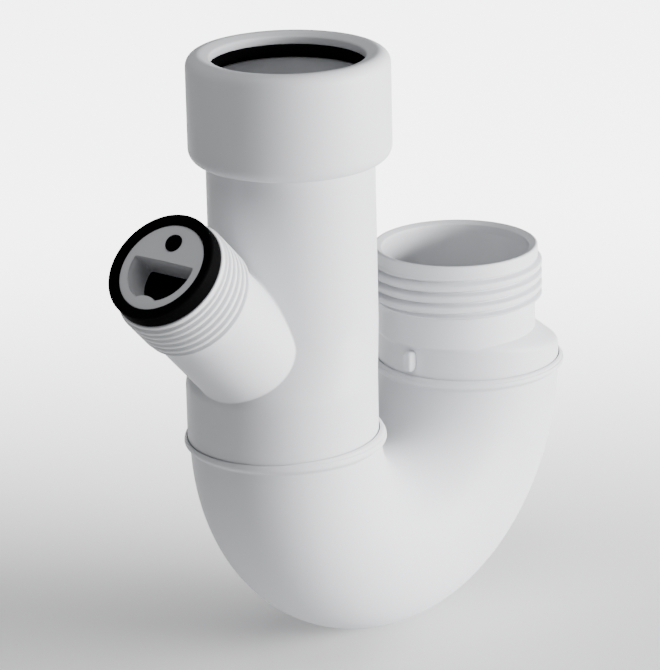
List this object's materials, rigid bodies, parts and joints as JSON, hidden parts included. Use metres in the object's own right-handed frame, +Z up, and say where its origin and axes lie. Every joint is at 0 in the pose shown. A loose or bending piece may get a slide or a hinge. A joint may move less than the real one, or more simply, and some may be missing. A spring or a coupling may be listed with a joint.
{
  "type": "appliance trap",
  "caption": "U-shaped waste trap with a sealed pipe socket on top, an angled threaded hose branch with a rubber flap valve, and a threaded outlet facing up.",
  "frame": {"origin": "on the axis of the inlet socket, at its mouth", "axes": "+Z up out of the inlet socket, +X towards the outlet in the plane of the bend, the branch leans up towards -X"},
  "size_m": [0.1644, 0.0536, 0.1683],
  "materials": {
    "body_plastic": "satin moulded, light cool grey",
    "plug_plastic": "satin moulded, mid grey",
    "black_rubber": "matte black"
  },
  "bodies": {
    "trap": {"inlet_body": "body_plastic", "inlet_lip_seal": "black_rubber", "trap_bend": "body_plastic", "outlet_adapter": "body_plastic", "branch_gasket": "black_rubber", "valve_insert": "plug_plastic", "flap_tab": "black_rubber"},
    "flap": {"valve_flap": "black_rubber"}
  },
  "joints": [
    {"name": "flap_swing", "type": "hinge", "parent": "trap", "child": "flap", "pos_m": [-0.04299, 0, -0.04788], "axis": [0, -1, 0], "range_deg": [0, 50], "stiffness_Nm_per_rad": 0.002, "springref_deg": -8.59}
  ]
}
